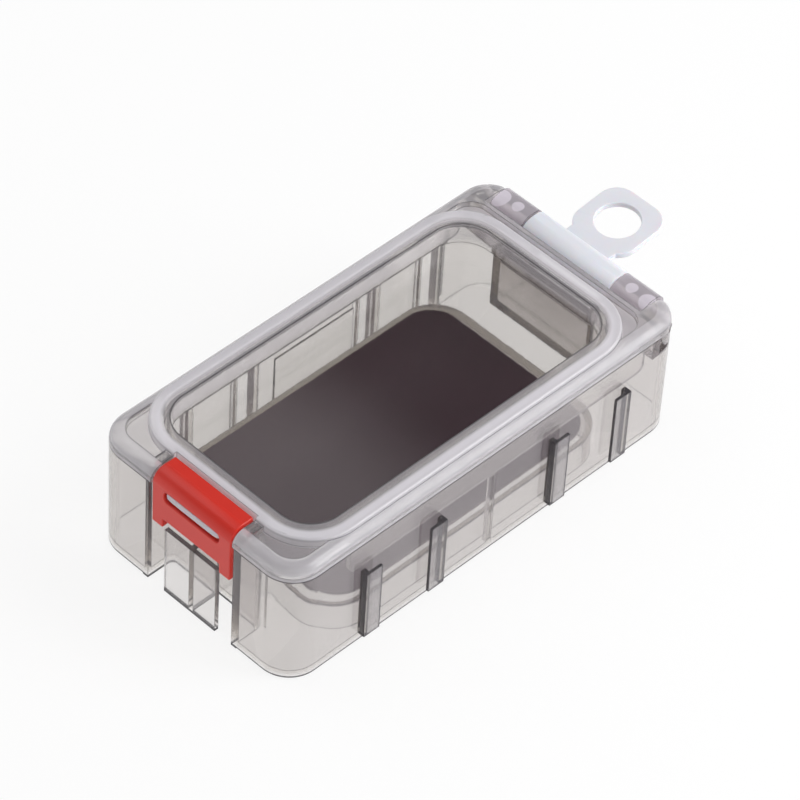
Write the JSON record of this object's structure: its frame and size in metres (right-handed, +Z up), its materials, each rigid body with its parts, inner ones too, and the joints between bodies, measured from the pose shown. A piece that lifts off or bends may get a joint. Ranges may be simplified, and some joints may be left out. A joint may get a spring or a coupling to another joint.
{
  "type": "hook storage box",
  "caption": "Clear lidded box for fishing hooks with a red swing latch, a raised-ring window lid, a magnetic mat on a raised seat, joining rails on its walls and a hanging tab.",
  "frame": {"origin": "middle of the tray's footprint, on the surface it stands on", "axes": "+Z up, +Y towards the hinge and hanging tab, -Y towards the latch, +X towards the wall with the joining hooks"},
  "size_m": [0.0523, 0.1155, 0.0286],
  "materials": {
    "smoke_plastic": "clear smoke tint, polished",
    "red_plastic": "satin gloss",
    "magnet_sheet": "smooth, slightly glossy",
    "white_plastic": "soft translucent"
  },
  "bodies": {
    "base": {"base_tray": "smoke_plastic", "hinge_pin_left": "smoke_plastic", "hinge_pin_right": "smoke_plastic", "magnet_mat": "magnet_sheet"},
    "lid": {"lid": "smoke_plastic", "latch_pin": "red_plastic"},
    "latch": {"latch": "red_plastic"},
    "tab": {"hang_tab": "white_plastic"}
  },
  "joints": [
    {"name": "lid_hinge", "type": "hinge", "parent": "base", "child": "lid", "pos_m": [0, 0.04675, 0.0248], "axis": [-1, 0, 0], "range_deg": [0, 105]},
    {"name": "latch_swing", "type": "hinge", "parent": "lid", "child": "latch", "pos_m": [0, -0.0471, 0.0267], "axis": [-1, 0, 0], "range_deg": [0, 75]},
    {"name": "tab_swing", "type": "hinge", "parent": "base", "child": "tab", "pos_m": [0, 0.04675, 0.0248], "axis": [-1, 0, 0], "range_deg": [0, 80]}
  ]
}
